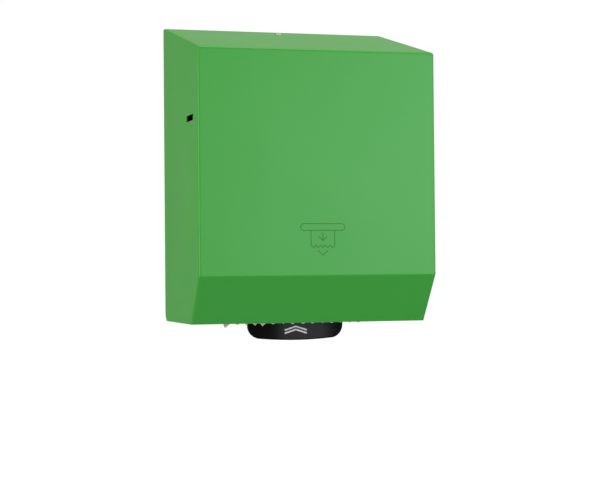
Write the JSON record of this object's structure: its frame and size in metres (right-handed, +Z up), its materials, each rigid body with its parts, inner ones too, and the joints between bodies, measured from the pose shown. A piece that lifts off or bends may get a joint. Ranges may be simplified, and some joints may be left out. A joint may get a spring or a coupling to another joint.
{
  "type": "lever paper towel dispenser",
  "caption": "Wall-mounted steel paper towel dispenser: a hinged cover with a sloped top and chamfered front, and a push lever that feeds the roll past a tear bar.",
  "frame": {"origin": "centre of the four wall holes, on the back plate's rear face", "axes": "+X right seen from the room, +Y into the wall, +Z up"},
  "size_m": [0.3, 0.203, 0.406],
  "materials": {
    "powder_coat": "satin",
    "zinc_steel": "satin",
    "blade_steel": "brushed",
    "black_plastic": "fine texture",
    "grey_plastic": "satin",
    "gear_plastic": "satin",
    "rubber": "matt",
    "spring_steel": "bright",
    "lock_metal": "polished",
    "paper": "matt",
    "cardboard": "matt"
  },
  "bodies": {
    "back": {"back_plate": "zinc_steel", "mounting_nuts": "zinc_steel", "left_side_plate": "zinc_steel", "right_side_plate": "zinc_steel", "front_cross_member": "zinc_steel", "rear_cross_member": "zinc_steel", "paper_guide": "grey_plastic", "cross_member_screws": "zinc_steel", "tear_bar": "blade_steel", "tear_bar_rivets": "zinc_steel", "lever_bushes": "gear_plastic", "feed_bushes": "gear_plastic", "anti_reverse_clutch": "zinc_steel", "clutch_screw": "zinc_steel", "stop_posts": "zinc_steel", "stop_sleeves": "rubber", "gear_cover": "grey_plastic", "gear_cover_screws": "zinc_steel", "left_arm_bracket": "zinc_steel", "right_arm_bracket": "zinc_steel", "arm_pins": "zinc_steel", "lock_strike": "zinc_steel", "paper_web": "paper", "left_return_spring": "spring_steel", "right_return_spring": "spring_steel", "left_pressure_spring": "spring_steel", "right_pressure_spring": "spring_steel", "left_arm_spring": "spring_steel", "right_arm_spring": "spring_steel"},
    "cover": {"cover_shell": "powder_coat", "cover_hinge_studs": "zinc_steel", "lock_barrel": "lock_metal", "lock_nut": "lock_metal"},
    "lock": {"lock_plug": "lock_metal", "lock_cam": "lock_metal", "lock_cam_screw": "lock_metal"},
    "lever": {"push_lever": "black_plastic", "lever_shaft": "zinc_steel", "lever_shaft_clips": "zinc_steel", "lever_pins": "zinc_steel", "sector_gear": "gear_plastic"},
    "pinion": {"drive_pinion": "gear_plastic", "drive_clutch": "zinc_steel"},
    "feed_roller": {"feed_axle": "zinc_steel", "feed_axle_clips": "zinc_steel", "feed_drum": "grey_plastic", "feed_grip_bands": "rubber", "feed_knob": "grey_plastic"},
    "pressure_carriage": {"left_bearing_block": "gear_plastic", "right_bearing_block": "gear_plastic"},
    "pressure_roller": {"pressure_axle": "zinc_steel", "pressure_roller": "rubber"},
    "left_arm": {"left_roll_arm": "zinc_steel", "left_roll_hub": "grey_plastic"},
    "right_arm": {"right_roll_arm": "zinc_steel", "right_roll_hub": "grey_plastic"},
    "roll": {"paper_roll": "paper", "roll_core": "cardboard"}
  },
  "joints": [
    {"name": "cover_hinge", "type": "hinge", "parent": "back", "child": "cover", "pos_m": [0, -0.012, -0.228], "axis": [1, 0, 0], "range_deg": [0, 85]},
    {"name": "lock_turn", "type": "hinge", "parent": "cover", "child": "lock", "pos_m": [0, -0.024, 0.13615], "axis": [0, 0.2369, -0.9715], "range_deg": [0, 90]},
    {"name": "lever_push", "type": "hinge", "parent": "back", "child": "lever", "pos_m": [0, -0.08144, -0.1585], "axis": [1, 0, 0], "range_deg": [0, 30], "stiffness_Nm_per_rad": 1.2, "springref_deg": -28.65, "deforming": ["left_return_spring", "right_return_spring"]},
    {"name": "pinion_spin", "type": "hinge", "parent": "back", "child": "pinion", "pos_m": [0, -0.136, -0.19], "axis": [1, 0, 0], "range_deg": [-185, 5]},
    {"name": "feed_spin", "type": "hinge", "parent": "back", "child": "feed_roller", "pos_m": [0, -0.136, -0.19], "axis": [1, 0, 0], "continuous": true},
    {"name": "pressure_slide", "type": "slide", "parent": "back", "child": "pressure_carriage", "axis": [0, 1, 0], "range_m": [0, 0.003], "stiffness_N_per_m": 1500, "springref_m": -0.006, "deforming": ["left_pressure_spring", "right_pressure_spring"]},
    {"name": "pressure_spin", "type": "hinge", "parent": "pressure_carriage", "child": "pressure_roller", "pos_m": [0, -0.1051, -0.19], "axis": [1, 0, 0], "continuous": true},
    {"name": "roll_spin", "type": "hinge", "parent": "back", "child": "roll", "pos_m": [0, -0.103, 0.0105], "axis": [1, 0, 0], "continuous": true},
    {"name": "left_arm_swing", "type": "hinge", "parent": "back", "child": "left_arm", "pos_m": [-0.1085, -0.012, 0.0105], "axis": [0, 0, -1], "range_deg": [0, 14], "stiffness_Nm_per_rad": 1, "springref_deg": -17.19, "deforming": ["left_arm_spring"]},
    {"name": "right_arm_swing", "type": "hinge", "parent": "back", "child": "right_arm", "pos_m": [0.1085, -0.012, 0.0105], "axis": [0, 0, 1], "range_deg": [0, 14], "stiffness_Nm_per_rad": 1, "springref_deg": -17.19, "deforming": ["right_arm_spring"]}
  ],
  "couplings": [
    {"joint": "pinion_spin", "follows": "lever_push", "ratio": -6},
    {"joint": "feed_spin", "follows": "lever_push", "ratio": -6},
    {"joint": "pressure_spin", "follows": "lever_push", "ratio": 12},
    {"joint": "roll_spin", "follows": "lever_push", "ratio": 1.3333}
  ]
}
